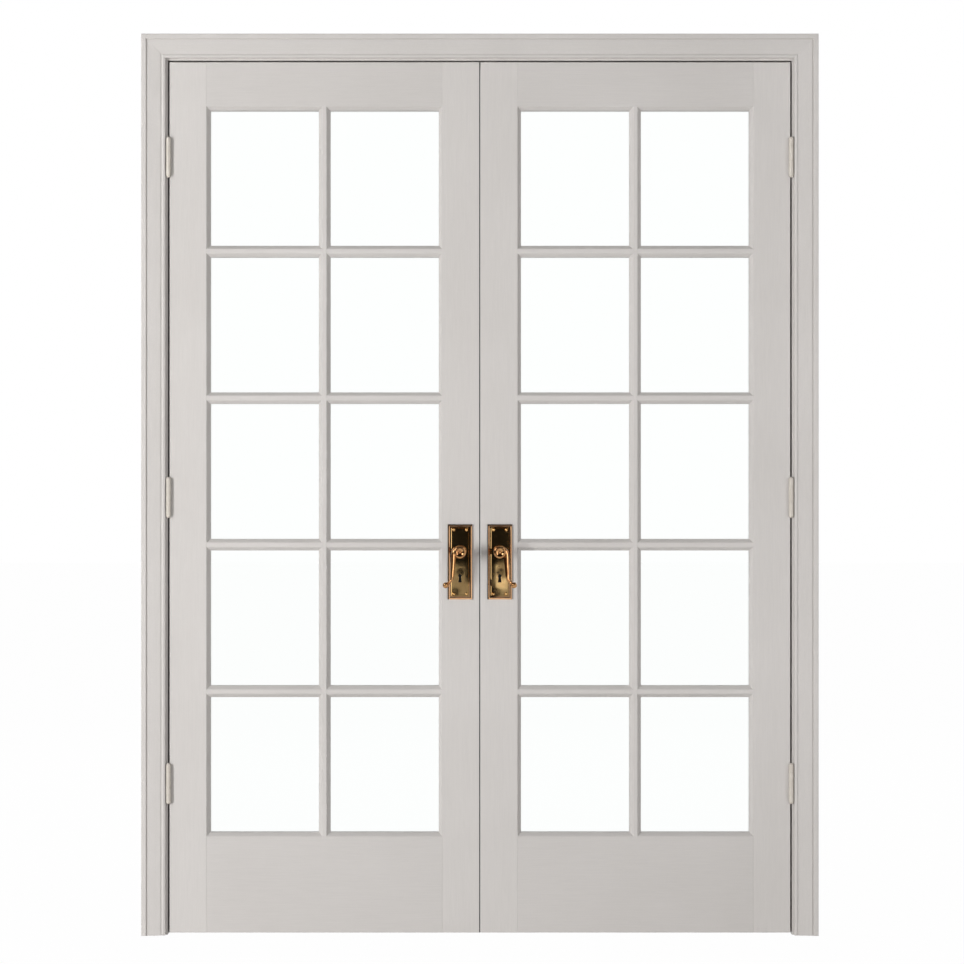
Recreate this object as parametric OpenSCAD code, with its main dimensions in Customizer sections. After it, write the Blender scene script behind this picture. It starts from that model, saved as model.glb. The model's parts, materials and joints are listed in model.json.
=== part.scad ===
// Pair of glazed timber doors in a cased frame, with brass lever handles.
// +Z is up and the front faces -Y. The origin is on the floor, midway between the leaves
// and in the middle of their thickness. Sizes are in millimetres.

/* [Leaf] */
// Width of one leaf at its front face
leaf_w = 726; // [620:1:900]
// Height of a leaf
leaf_h = 2040; // [1900:1:2300]
// Thickness of a leaf
leaf_t = 40; // [36:0.5:50]
// Width of a stile over its moulded edge
stile_w = 95; // [90:0.5:130]
// Height of the top rail over its moulded edge
top_rail_h = 112; // [90:1:160]
// Height of the bottom rail over its moulded edge
bottom_rail_h = 234; // [120:1:320]
// Width of a glazing bar over both moulded edges
bar_w = 27; // [24:0.5:40]
// Panes across a leaf
pane_columns = 2; // [2:1:3]
// Panes up a leaf
pane_rows = 5; // [3:1:7]
// How far a rail's tenon goes into the stile
tenon_l = 18; // [10:1:20]
// Thickness of the tenons
tenon_t = 12; // [8:0.5:14]
// Wood left above and below a tenon
tenon_shoulder = 20; // [12:1:30]

/* [Moulding and glass] */
// Width of the moulded edge round each pane
moulding_w = 8.5; // [7:0.5:11]
// Step down from the face to the moulding
moulding_step = 1.2; // [0.5:0.1:2]
// Flat between that step and the splay
moulding_flat = 1; // [0.5:0.1:2]
// Depth of the splay towards the glass
splay_d = 9; // [6:0.25:11]
// Thickness of the glass
glass_t = 4; // [3:0.5:8]
// Free space between the edge of a pane and the wood
glass_edge_gap = 1.5; // [0.5:0.1:2.5]
// Joint left between the glazing beads at their mitres
bead_mitre_gap = 0.2; // [0.1:0.05:0.5]

/* [Gaps] */
// Gap between the two leaves at the front
meeting_gap = 3; // [2.6:0.1:5]
// How much narrower each leaf is at its back along the meeting edge
edge_bevel = 2; // [1.5:0.1:3]
// Gap between a leaf and its jamb
side_gap = 4; // [3:0.1:5]
// Gap above the leaves
head_gap = 4; // [3:0.1:6]
// Gap below the leaves
floor_gap = 5; // [3:0.5:12]
// Gap between the back of a leaf and its stop
stop_gap = 2; // [1:0.1:3]

/* [Frame] */
// Thickness of the jambs
jamb_t = 30; // [24:0.5:40]
// Depth of the jambs from front to back
jamb_d = 94; // [90:1:150]
// How far the head jamb is housed into the side jambs
housing_d = 12; // [6:0.5:18]
// Thickness of the stops
stop_t = 12; // [9:0.5:16]
// Width of the stops
stop_w = 32; // [20:0.5:34]
// Round on the free corner of the stops
stop_round = 3; // [1:0.5:6]
// Diameter of the wall fixing holes in the side jambs
fixing_d = 6; // [5:0.5:8]
// Distance of the fixing holes from the back edge of the jamb
fixing_inset = 10; // [8:0.5:14]
// Height of the lowest fixing hole
fixing_z = 200; // [150:5:300]
// Distance from one fixing hole to the next
fixing_pitch = 540; // [450:5:580]
// Fixing holes in each side jamb
fixing_count = 4; // [2:1:4]

/* [Casing] */
// Width of the casing
casing_w = 55.5; // [50:0.5:70]
// Thickness of the casing at its outer band
casing_t = 18; // [15:0.5:20]
// Strip of jamb edge left showing beside the casing
casing_reveal = 5; // [4.5:0.5:6]
// Width of the outer band
band_w = 12; // [8:0.5:14]
// Round on the edges of the outer band
band_round = 2; // [1:0.25:3]
// Width of the groove inside the outer band
groove_w = 2.5; // [2:0.25:4]
// Thickness left under the groove
groove_t = 14.5; // [10:0.25:15]
// Thickness of the field at its outer edge
field_outer_t = 16; // [15:0.25:17]
// Thickness of the field at its inner edge
field_inner_t = 12.5; // [12:0.25:14]
// Diameter of the round bead at the inner edge
bead_d = 9; // [7:0.25:10]
// Thickness of the casing over the bead
bead_t = 12.5; // [11:0.25:12.5]
// Thickness left under the quirk beside the bead
quirk_t = 11; // [9:0.25:11.5]
// Width of that quirk
quirk_w = 1.5; // [1:0.25:2.5]
// Depth of the hollow in the back of the casing
hollow_d = 1.5; // [0.5:0.25:2.5]
// Width of the flat left on the back beside the outer edge
hollow_land = 12; // [8:0.5:16]

/* [Hinges] */
// Height of a hinge
hinge_h = 89; // [76:1:102]
// Thickness of the hinge plates
hinge_plate_t = 2.5; // [2:0.1:3]
// Width of the hinge plates along the edge of the leaf
hinge_plate_w = 32; // [26:0.5:34]
// Knuckles in a hinge
knuckles = 5; // [3:2:7]
// Gap between one knuckle and the next
knuckle_gap = 0.3; // [0.2:0.05:0.6]
// Diameter of the hinge pin
pin_d = 6; // [5:0.25:7]
// Free play of the pin in its knuckles, on the diameter
pin_play = 0.1; // [0.06:0.01:0.18]
// Wall of a knuckle
knuckle_wall = 2.45; // [2.2:0.05:3]
// Gap between the knuckles and the face of the leaf
knuckle_clear = 0.5; // [0.3:0.1:1.5]
// Height of the button at each end of a pin
tip_h = 3.5; // [2:0.25:5]
// Diameter of that button
tip_d = 9; // [7.5:0.25:10]
// Middle of the top hinge below the top of the leaf
hinge_from_top = 223; // [150:1:300]
// Middle of the bottom hinge above the bottom of the leaf
hinge_from_bottom = 350; // [200:1:400]

/* [Handles] */
// Spindle height above the floor
spindle_z = 898; // [850:1:1050]
// Spindle distance from the meeting edge of the leaf
backset = 45; // [44:0.5:52]
// Keyhole distance below the spindle
keyhole_drop = 57; // [52:0.5:70]
// Width of a handle plate
plate_w = 57.5; // [50:0.5:62]
// Height of a handle plate
plate_h = 176; // [165:1:200]
// Thickness of the plate inside its rim
plate_t = 2.4; // [1.8:0.1:2.8]
// Thickness of the plate at its rim
rim_t = 5; // [4.4:0.1:6]
// Diameter of the round on the rim
rim_d = 5; // [4:0.25:5.5]
// Width of the step inside that round
rim_step_w = 3.5; // [2:0.25:4]
// Middle of the plate below the spindle
plate_drop = 24; // [15:0.5:32]
// Plate screws, from the middle of the plate to the side
plate_screw_x = 15; // [12:0.5:17]
// Plate screws, from the middle of the plate up and down
plate_screw_z = 75; // [68:0.5:77]
// Diameter of a plate screw's head
screw_head_d = 7; // [6:0.25:8]
// Height of a plate screw's head
screw_head_h = 2.2; // [1.5:0.1:3]
// Diameter of a plate screw's shank
screw_d = 3.5; // [3:0.25:4]
// How far a plate screw goes into the wood
screw_l = 11; // [8:0.5:11]
// Diameter of the round part of the keyhole
keyhole_d = 9; // [8:0.25:11]
// Width at the foot of the keyhole
keyhole_foot_w = 8; // [6:0.25:9]
// Width of the keyhole just under its round part
keyhole_waist_w = 5; // [4.6:0.2:6]
// Foot of the keyhole below the middle of its round part
keyhole_foot = 15; // [12:0.5:18]

/* [Lever] */
// Distance from the face of the leaf to the middle of the lever arm
lever_out = 52; // [45:0.5:60]
// Diameter of the round head of the lever
head_d = 29; // [26:0.5:32]
// Thickness of that head
head_t = 15; // [12:0.5:16]
// Diameter of the dish in the face of the head
dish_d = 18; // [14:0.5:20]
// Depth of that dish
dish_h = 2.5; // [1.5:0.25:3]
// Diameter of the button in the middle of the dish
eye_d = 8; // [6:0.5:9]
// Diameter of the lever's neck
neck_d = 16; // [15:0.5:18]
// How much slimmer the neck is in the middle, on the radius
neck_waist = 1; // [0.5:0.1:1.2]
// Diameter of the collar that lies on the plate
collar_d = 22; // [20:0.5:26]
// Thickness of that collar
collar_t = 4; // [3:0.25:6]
// Gap between that collar and the plate
collar_gap = 0.2; // [0.1:0.05:0.3]
// Free play of the neck in the plate, on the diameter
neck_play = 0.2; // [0.1:0.02:0.2]
// How far the arm hangs beside the spindle
arm_out = 16; // [14:0.5:20]
// How far the arm hangs down before it turns out
arm_drop = 57; // [50:0.5:70]
// How far the ball stands beside the spindle
ball_out = 33; // [28:0.5:40]
// How far the ball hangs below the spindle
ball_drop = 77; // [70:0.5:90]
// Diameter of the ball
ball_d = 14; // [11:0.5:15]
// Width of the arm where it leaves the head
arm_root_w = 12.5; // [10:0.5:13]
// Width of the arm at its foot
arm_foot_w = 8.5; // [6:0.5:9]
// Width of the arm where it meets the ball
arm_end_w = 5.5; // [5:0.25:7]
// How far the arm leans out on its way down
arm_lean = 2; // [0:0.5:4]
// Width over the ring beside the ball
arm_ring_w = 9.5; // [8.5:0.5:11]
// Side of the square spindle
spindle_s = 8; // [7:0.25:8]
// Free play of the spindle in the levers, on its side
spindle_play = 0.2; // [0.1:0.05:0.4]
// Diameter of the spindle's hole through the leaf
spindle_hole_d = 12.5; // [12:0.25:14]

/* [Lock] */
// Thickness of the lock case
case_t = 16; // [14:0.5:17]
// Depth of the lock case behind its forend
case_d = 62; // [60:0.5:66]
// Lock case above the spindle
case_above = 30; // [22:0.5:34]
// Lock case below the keyhole
case_below = 25; // [20:0.5:30]
// Thickness of the curtain that closes the keyhole inside the lock case
curtain_t = 3; // [2:0.25:5]
// Depth of the blind keyholes in the leaf that has no lock
blind_d = 14; // [10:0.5:16]
// Free space round the lock case in its mortice
case_play = 0.5; // [0.2:0.1:1]
// Width of the forend and of the strike plate
forend_w = 24; // [20:0.5:26]
// Thickness of the forend and of the strike plate
forend_t = 3; // [2:0.25:4]
// Forend beyond the case at each end
forend_over = 21; // [16:0.5:26]
// Thickness of the latch bolt
latch_t = 9.5; // [8:0.25:11]
// Height of the latch bolt
latch_h = 22; // [18:0.5:24]
// Travel of the latch bolt
latch_throw = 12; // [10:0.25:13]
// Thickness of the deadbolt
deadbolt_t = 9.5; // [8:0.25:11]
// Height of the deadbolt
deadbolt_h = 24; // [20:0.5:28]
// Length of both bolts
bolt_l = 33; // [28:0.5:34]
// Free space round a bolt in the lock, on each side
bolt_play = 0.2; // [0.1:0.05:0.4]
// Free space round a bolt in the strike plate, on each side
strike_play = 1.2; // [0.8:0.1:2]
// Depth of the pockets behind the strike plate
pocket_d = 14; // [13:0.5:18]

/* [Flush bolts] */
// Diameter of a flush bolt's rod
rod_d = 8; // [7:0.25:9]
// Free play of the rod in the leaf, on the diameter
rod_play = 0.4; // [0.2:0.05:0.8]
// Length of a rod
rod_l = 120; // [110:1:150]
// Middle of the rod behind its faceplate
rod_in = 12; // [10:0.5:14]
// Tip of a rod inside the end of the leaf
rod_tip_in = 1; // [0.5:0.25:2]
// Travel of a rod
rod_throw = 14; // [12:0.5:15]
// Play of a rod in the head jamb, on the diameter
socket_play = 4.5; // [4:0.25:6]
// Width of a flush bolt's faceplate
bolt_plate_w = 20; // [18:0.5:24]
// Height of a flush bolt's faceplate
bolt_plate_h = 130; // [120:1:150]
// End of the faceplate from the end of the leaf
bolt_plate_in = 20; // [10:1:30]
// Width of the finger piece
finger_w = 5; // [4:0.25:6]
// Height of the finger piece
finger_h = 16; // [12:0.5:20]
// Free space round the finger piece in its slot
finger_play = 0.5; // [0.3:0.1:1]

/* [Seal] */
// Width of the pile seal's blade
seal_t = 3; // [2:0.25:4]
// Seal behind the front face of the leaf
seal_in = 1.5; // [1:0.25:3]
// How deep the seal's foot is let into the leaf
seal_foot = 5; // [4:0.25:7]
// Gap between the tip of the seal and the other leaf
seal_gap = 0.4; // [0.3:0.05:0.8]

/* [Hidden] */
$fn = 48;
// Sides of the lever arm's section, and steps along each of its three curves
arm_sides = 18;
arm_steps = 9;
// Sides of the large circles that shape the lever's neck and head
waist_sides = 360;
// Tools cut past the surface by this much
over = 1;

// Planes of the leaves
front_y = -leaf_t / 2;
back_y = leaf_t / 2;
glass_y = glass_t / 2;
edge_x = meeting_gap / 2;
hinge_edge_x = edge_x + leaf_w;
leaf_bottom = floor_gap;
leaf_top = leaf_bottom + leaf_h;

// Square edges that the mouldings spring from
moulding_d = (leaf_t - glass_t) / 2;
stile_flat = stile_w - moulding_w;
bar_flat = bar_w - 2 * moulding_w;
frame_left = edge_x + stile_flat;
frame_right = hinge_edge_x - stile_flat;
frame_low = leaf_bottom + bottom_rail_h - moulding_w;
frame_high = leaf_top - top_rail_h + moulding_w;

// Panes, measured between the square edges of the wood
column_w = (frame_right - frame_left - (pane_columns - 1) * bar_flat) / pane_columns;
row_h = (frame_high - frame_low - (pane_rows - 1) * bar_flat) / pane_rows;
function column_x(i) = frame_left + i * (column_w + bar_flat);
function row_z(j) = frame_low + j * (row_h + bar_flat);

// Frame
jamb_x = hinge_edge_x + side_gap;
head_z = leaf_top + head_gap;
jamb_back = front_y + jamb_d;
stop_y = back_y + stop_gap;
casing_x = jamb_x + casing_reveal;
casing_z = head_z + casing_reveal;
fixing_y = jamb_back - fixing_inset;

// Hinges
barrel_d = pin_d + pin_play + 2 * knuckle_wall;
axis_out = barrel_d / 2 + knuckle_clear;
axis_x = hinge_edge_x + side_gap / 2;
axis_y = front_y - axis_out;
knuckle_h = hinge_h / knuckles;
hinge_z = [leaf_bottom + hinge_from_bottom, leaf_bottom + leaf_h / 2, leaf_top - hinge_from_top];

// Handles and lock
handle_x = edge_x + backset;
plate_z = spindle_z - plate_drop;
keyhole_z = spindle_z - keyhole_drop;
rim_w = rim_d + rim_step_w;
spindle_end = leaf_t / 2 + lever_out - head_t / 2 - over;
forend_x = edge_x + edge_bevel * (forend_w / 2 + leaf_t / 2) / leaf_t;
case_x = forend_x + forend_t;
case_low = keyhole_z - case_below;
case_h = keyhole_drop + case_above + case_below;
forend_low = case_low - forend_over;
forend_h = case_h + 2 * forend_over;

// Flush bolts
bolt_plate_x = edge_x + edge_bevel * (bolt_plate_w / 2 + leaf_t / 2) / leaf_t;
rod_x = bolt_plate_x + rod_in;
finger_in = rod_tip_in + rod_l - finger_h;
slot_in = finger_in - rod_throw - finger_play;
slot_h = finger_h + rod_throw + 2 * finger_play;

// Paint and metals
paint = [0.84, 0.83, 0.80];
hinge_paint = [0.86, 0.83, 0.78];
brass = [0.78, 0.58, 0.30];
steel = [0.62, 0.62, 0.62];
clear_glass = [0.85, 0.92, 0.92, 0.35];
dark_pile = [0.12, 0.11, 0.10];

SIDES = ["left", "right"];
HINGES = ["bottom", "middle", "top"];
LEAF_PIECES = [
    "hinge_stile", "meeting_stile", "top_rail", "bottom_rail", "vertical_bars", "cross_bars",
    "panes", "glazing_beads", "front_plate", "back_plate", "plate_screws",
    "front_lever", "back_lever", "spindle"
];

// Shapes for the right-hand side, turned over for the left
module on_side(side) {
    mirror([side == "left" ? 1 : 0, 0, 0]) children();
}

// Turned over from top to bottom about the middle of the leaf
module at_leaf_end(end) {
    middle = (leaf_top + leaf_bottom) / 2;
    translate([0, 0, middle]) mirror([0, 0, end == "bottom" ? 1 : 0]) translate([0, 0, -middle]) children();
}

// An outline in (y, z) drawn out along X, from x = 0
module along_x(length) {
    rotate([90, 0, 90]) linear_extrude(length) children();
}

// An outline in (x, z) drawn out along Y, from y = from to y = to
module along_y(from, to) {
    translate([0, to, 0]) rotate([90, 0, 0]) linear_extrude(to - from) children();
}

// Moulding in outline: x runs towards the glass, y from the face down to the glass
module moulding_outline() {
    polygon([
        [0, moulding_step], [moulding_flat, moulding_step], [moulding_w, moulding_step + splay_d],
        [moulding_w, moulding_d], [0, moulding_d]
    ]);
}

// Moulding that faces +X from the plane x = 0, at the front of the leaf
module upright_moulding(length) {
    linear_extrude(length) translate([0, front_y]) moulding_outline();
}

// Moulding that faces +Z from the plane z = 0, at the front of the leaf
module level_moulding(length) {
    along_x(length) translate([front_y, 0]) mirror([1, -1]) moulding_outline();
}

// The mouldings of both stiles, to shape the ends of the rails and bars
module stile_mouldings() {
    translate([frame_left, 0, leaf_bottom]) upright_moulding(leaf_h);
    translate([frame_right, 0, leaf_bottom]) mirror([1, 0, 0]) upright_moulding(leaf_h);
}

// The mouldings of both rails, between the stiles
module rail_mouldings() {
    translate([frame_left, 0, frame_low]) level_moulding(frame_right - frame_left);
    translate([frame_left, 0, frame_high]) mirror([0, 0, 1]) level_moulding(frame_right - frame_left);
}

// A glazing bar's web and mouldings in outline, with its middle at x = 0
module bar_outline() {
    web = bar_flat / 2;
    step_y = front_y + moulding_step;
    splay_y = step_y + splay_d;
    glass_side_y = front_y + moulding_d;
    polygon([
        [-web, front_y], [web, front_y], [web, step_y], [web + moulding_flat, step_y],
        [web + moulding_w, splay_y], [web + moulding_w, glass_side_y], [web, glass_side_y], [web, back_y],
        [-web, back_y], [-web, glass_side_y], [-web - moulding_w, glass_side_y], [-web - moulding_w, splay_y],
        [-web - moulding_flat, step_y], [-web, step_y]
    ]);
}

module vertical_bar_blanks() {
    for (i = [1 : pane_columns - 1]) {
        translate([column_x(i) - bar_flat / 2, 0, frame_low])
            linear_extrude(frame_high - frame_low) bar_outline();
    }
}

// Tenon of a rail between two heights, reaching into both stiles
module tenons(low, high) {
    for (x = [frame_left - tenon_l, frame_right]) {
        translate([x, -tenon_t / 2, low]) cube([tenon_l, tenon_t, high - low]);
    }
}

module top_tenons() {
    tenons(frame_high + tenon_shoulder, leaf_top - tenon_shoulder);
}

module bottom_tenons() {
    tenons(leaf_bottom + tenon_shoulder, frame_low - tenon_shoulder);
}

// Side view of the keyhole, with the middle of its round part at the origin
module keyhole_outline() {
    circle(d = keyhole_d);
    polygon([
        [-keyhole_waist_w / 2, 0], [keyhole_waist_w / 2, 0],
        [keyhole_foot_w / 2, -keyhole_foot], [-keyhole_foot_w / 2, -keyhole_foot]
    ]);
}

module keyhole_cut(from, to) {
    along_y(from, to) translate([handle_x, keyhole_z]) keyhole_outline();
}

// A round hole or pin along Y at the spindle
module at_spindle(diameter, from, to) {
    along_y(from, to) translate([handle_x, spindle_z]) circle(d = diameter);
}

module plate_screw_places() {
    for (dx = [-plate_screw_x, plate_screw_x], dz = [-plate_screw_z, plate_screw_z]) {
        translate([handle_x + dx, 0, plate_z + dz]) children();
    }
}

// Pilot holes for the plate screws, from both faces
module plate_screw_holes() {
    plate_screw_places() {
        along_y(front_y - over, front_y + screw_l) circle(d = screw_d);
        along_y(back_y - screw_l, back_y + over) circle(d = screw_d);
    }
}

// Space for a plate let into the meeting edge, as far out as the gap between the leaves
module edge_plate_recess(x, width, thickness, low, height) {
    translate([0, -width / 2, low]) cube([x + thickness, width, height]);
}

module lock_mortice() {
    play = case_play;
    translate([case_x - over, -case_t / 2 - play, case_low - play])
        cube([case_d + over + play, case_t + 2 * play, case_h + 2 * play]);
    edge_plate_recess(forend_x, forend_w, forend_t, forend_low, forend_h);
    keyhole_cut(front_y - over, back_y + over);
    seal_groove(edge_x - over);
}

// A bolt and the free space round it, at a height, from x = 0 to a depth
module bolt_space(thickness, height, z, play, depth) {
    translate([0, -thickness / 2 - play, z - height / 2 - play])
        cube([depth, thickness + 2 * play, height + 2 * play]);
}

module strike_pockets() {
    bolt_space(latch_t, latch_h, spindle_z, strike_play, forend_x + pocket_d);
    bolt_space(deadbolt_t, deadbolt_h, keyhole_z, strike_play, forend_x + pocket_d);
}

module strike_mortice() {
    edge_plate_recess(forend_x, forend_w, forend_t, forend_low, forend_h);
    strike_pockets();
    keyhole_cut(front_y - over, front_y + blind_d);
    keyhole_cut(back_y - blind_d, back_y + over);
}

// Bore, finger slot and faceplate recess of one flush bolt, at the top of the leaf
module flush_bolt_cuts() {
    bore_l = rod_tip_in + rod_l + finger_play;
    plate_low = leaf_top - bolt_plate_in - bolt_plate_h;
    translate([rod_x, 0, leaf_top - bore_l]) cylinder(d = rod_d + rod_play, h = bore_l + over);
    translate([0, -finger_w / 2 - finger_play, leaf_top - slot_in - slot_h])
        cube([rod_x, finger_w + 2 * finger_play, slot_h]);
    edge_plate_recess(bolt_plate_x, bolt_plate_w, forend_t, plate_low, bolt_plate_h);
}

// Groove in the meeting edge for the foot of the pile seal, opened out to x = from
module seal_groove(from) {
    translate([from, front_y + seal_in, leaf_bottom - over])
        cube([edge_x + seal_foot - from, seal_t, leaf_h + 2 * over]);
}

// Frame
module side_jamb(side) {
    color(paint) on_side(side) difference() {
        translate([jamb_x, front_y, 0]) cube([jamb_t, jamb_d, head_z + jamb_t]);
        translate([jamb_x - over, front_y - over, head_z])
            cube([housing_d + over, jamb_d + 2 * over, jamb_t + over]);
        for (z = hinge_z) {
            translate([jamb_x - over, front_y - over, z - hinge_h / 2])
                cube([hinge_plate_t + over, hinge_plate_w + over, hinge_h]);
        }
        for (i = [0 : fixing_count - 1]) {
            translate([jamb_x - over, fixing_y, fixing_z + i * fixing_pitch])
                rotate([0, 90, 0]) cylinder(d = fixing_d, h = jamb_t + 2 * over);
        }
    }
}

module head_jamb() {
    half = jamb_x + housing_d;
    color(paint) difference() {
        translate([-half, front_y, head_z]) cube([2 * half, jamb_d, jamb_t]);
        translate([rod_x, 0, head_z - over]) cylinder(d = rod_d + socket_play, h = jamb_t + 2 * over);
    }
}

// Stop in outline: x runs into the opening, y towards the back
module stop_outline() {
    square([stop_t - stop_round, stop_w]);
    square([stop_t, stop_w - stop_round]);
    translate([stop_t - stop_round, stop_w - stop_round]) circle(stop_round);
}

module side_stop(side) {
    color(paint) on_side(side)
        translate([jamb_x, stop_y, 0]) mirror([1, 0, 0]) linear_extrude(head_z) stop_outline();
}

module head_stop() {
    half = jamb_x - stop_t;
    color(paint)
        translate([-half, stop_y, head_z]) along_x(2 * half) mirror([0, 1]) mirror([1, -1]) stop_outline();
}

// Casing in outline: x runs from its inner edge to its outer edge, y from the wall to its face
module casing_outline() {
    field_in = bead_d + quirk_w;
    field_out = casing_w - band_w - groove_w;
    difference() {
        union() {
            square([bead_d, bead_t - bead_d / 2]);
            translate([bead_d / 2, bead_t - bead_d / 2]) circle(d = bead_d);
            square([field_in, quirk_t]);
            polygon([[field_in, 0], [field_out, 0], [field_out, field_outer_t], [field_in, field_inner_t]]);
            translate([field_out, 0]) square([groove_w, groove_t]);
            translate([casing_w - band_w, 0]) square([band_w, casing_t - band_round]);
            translate([casing_w - band_w + band_round, 0]) square([band_w - 2 * band_round, casing_t]);
            for (x = [casing_w - band_w + band_round, casing_w - band_round]) {
                translate([x, casing_t - band_round]) circle(band_round);
            }
        }
        hollow_in = jamb_t - casing_reveal;
        translate([hollow_in, -over]) square([casing_w - hollow_land - hollow_in, hollow_d + over]);
    }
}

module side_casing(side) {
    outer_x = casing_x + casing_w;
    color(paint) on_side(side) intersection() {
        translate([casing_x, front_y, 0])
            linear_extrude(casing_z + casing_w) mirror([0, 1]) casing_outline();
        along_y(front_y - casing_t - over, front_y + over)
            polygon([[casing_x, 0], [outer_x, 0], [outer_x, casing_z + casing_w], [casing_x, casing_z]]);
    }
}

module head_casing() {
    outer_x = casing_x + casing_w;
    outer_z = casing_z + casing_w;
    color(paint) intersection() {
        translate([-outer_x, front_y, casing_z])
            along_x(2 * outer_x) mirror([1, 0]) mirror([1, -1]) casing_outline();
        along_y(front_y - casing_t - over, front_y + over)
            polygon([[-casing_x, casing_z], [casing_x, casing_z], [outer_x, outer_z], [-outer_x, outer_z]]);
    }
}

// Half a hinge on its own axis: the jamb plate has the odd knuckles and lies at +X
module hinge_half(on_jamb) {
    turn = on_jamb ? 0 : 1;
    plate_x = side_gap / 2;
    difference() {
        union() {
            mirror([turn, 0, 0]) translate([plate_x, axis_out, -hinge_h / 2])
                cube([hinge_plate_t, hinge_plate_w, hinge_h]);
            for (k = [turn : 2 : knuckles - 1]) {
                translate([0, 0, k * knuckle_h + knuckle_gap / 2 - hinge_h / 2]) {
                    cylinder(d = barrel_d, h = knuckle_h - knuckle_gap);
                    mirror([turn, 0, 0]) translate([plate_x, 0, 0])
                        cube([hinge_plate_t, axis_out, knuckle_h - knuckle_gap]);
                }
            }
        }
        cylinder(d = pin_d + pin_play, h = hinge_h + 2 * over, center = true);
    }
}

module hinge_plate(side, z, on_jamb) {
    color(hinge_paint) on_side(side) translate([axis_x, axis_y, z]) hinge_half(on_jamb);
}

// Pin with a domed button at each end
module hinge_pin() {
    dome_r = (tip_d * tip_d / 4 + tip_h * tip_h) / (2 * tip_h);
    cylinder(d = pin_d, h = hinge_h, center = true);
    for (turn = [0, 1]) {
        mirror([0, 0, turn]) translate([0, 0, hinge_h / 2]) rotate_extrude() intersection() {
            square([tip_d / 2, tip_h]);
            translate([0, tip_h - dome_r]) circle(dome_r);
        }
    }
}

module hinge_pins() {
    color(hinge_paint) for (side = SIDES, z = hinge_z) {
        on_side(side) translate([axis_x, axis_y, z]) hinge_pin();
    }
}

// Leaves
module hinge_stile(side) {
    color(paint) on_side(side) difference() {
        union() {
            translate([frame_right, front_y, leaf_bottom]) cube([stile_flat, leaf_t, leaf_h]);
            translate([frame_right, 0, leaf_bottom]) mirror([1, 0, 0]) upright_moulding(leaf_h);
        }
        for (z = hinge_z) {
            translate([hinge_edge_x - hinge_plate_t, front_y - over, z - hinge_h / 2])
                cube([hinge_plate_t + over, hinge_plate_w + over, hinge_h]);
        }
        top_tenons();
        bottom_tenons();
    }
}

module meeting_stile(side) {
    color(paint) on_side(side) difference() {
        union() {
            translate([0, 0, leaf_bottom]) linear_extrude(leaf_h) polygon([
                [edge_x, front_y], [frame_left, front_y], [frame_left, back_y], [edge_x + edge_bevel, back_y]
            ]);
            translate([frame_left, 0, leaf_bottom]) upright_moulding(leaf_h);
        }
        top_tenons();
        bottom_tenons();
        at_spindle(spindle_hole_d, front_y - over, back_y + over);
        plate_screw_holes();
        if (side == "left") {
            lock_mortice();
        } else {
            strike_mortice();
            at_leaf_end("top") flush_bolt_cuts();
            at_leaf_end("bottom") flush_bolt_cuts();
        }
    }
}

module top_rail(side) {
    color(paint) on_side(side) {
        difference() {
            union() {
                translate([frame_left, front_y, frame_high])
                    cube([frame_right - frame_left, leaf_t, leaf_top - frame_high]);
                translate([frame_left, 0, frame_high])
                    mirror([0, 0, 1]) level_moulding(frame_right - frame_left);
                top_tenons();
            }
            stile_mouldings();
        }
    }
}

module bottom_rail(side) {
    color(paint) on_side(side) {
        difference() {
            union() {
                translate([frame_left, front_y, leaf_bottom])
                    cube([frame_right - frame_left, leaf_t, frame_low - leaf_bottom]);
                translate([frame_left, 0, frame_low]) level_moulding(frame_right - frame_left);
                bottom_tenons();
            }
            stile_mouldings();
        }
    }
}

module vertical_bars(side) {
    color(paint) on_side(side) difference() {
        vertical_bar_blanks();
        rail_mouldings();
    }
}

module cross_bars(side) {
    color(paint) on_side(side) difference() {
        for (i = [0 : pane_columns - 1], j = [1 : pane_rows - 1]) {
            translate([column_x(i), 0, row_z(j) - bar_flat / 2])
                along_x(column_w) mirror([1, -1]) bar_outline();
        }
        stile_mouldings();
        vertical_bar_blanks();
    }
}

module panes(side) {
    color(clear_glass) on_side(side) for (i = [0 : pane_columns - 1], j = [0 : pane_rows - 1]) {
        translate([column_x(i) + glass_edge_gap, -glass_y, row_z(j) + glass_edge_gap])
            cube([column_w - 2 * glass_edge_gap, glass_t, row_h - 2 * glass_edge_gap]);
    }
}

// Four mitred strips round a window of w by h, seen from the front, with the outline's x towards
// the middle of the window and its y towards -Y from the plane y = 0
module mitred_strips(w, h, depth, gap) {
    m = min(w, h) / 2;
    for (turn = [0, 1]) {
        translate([w / 2, 0, h / 2]) mirror([0, 0, turn]) translate([-w / 2, 0, -h / 2]) intersection() {
            along_x(w) mirror([1, 0]) mirror([1, -1]) children();
            along_y(-depth, 0) polygon([[gap, 0], [w - gap, 0], [w - m, m - gap], [m, m - gap]]);
        }
        translate([w / 2, 0, h / 2]) mirror([turn, 0, 0]) translate([-w / 2, 0, -h / 2]) intersection() {
            linear_extrude(h) mirror([0, 1]) children();
            along_y(-depth, 0) polygon([[0, 0], [0, h], [m, h - m], [m, m]]);
        }
    }
}

// The beads repeat the moulding behind the glass
module glazing_beads(side) {
    color(paint) on_side(side) for (i = [0 : pane_columns - 1], j = [0 : pane_rows - 1]) {
        translate([column_x(i), glass_y, row_z(j)]) mirror([0, 1, 0])
            mitred_strips(column_w, row_h, moulding_d, bead_mitre_gap)
                translate([0, moulding_d]) mirror([0, 1]) moulding_outline();
    }
}

// Handle plate on the front face: a flat field in a moulded rim
module rim_outline() {
    square([rim_d, rim_t - rim_d / 2]);
    translate([rim_d / 2, rim_t - rim_d / 2]) circle(d = rim_d);
    square([rim_w, (plate_t + rim_t) / 2]);
}

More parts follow.
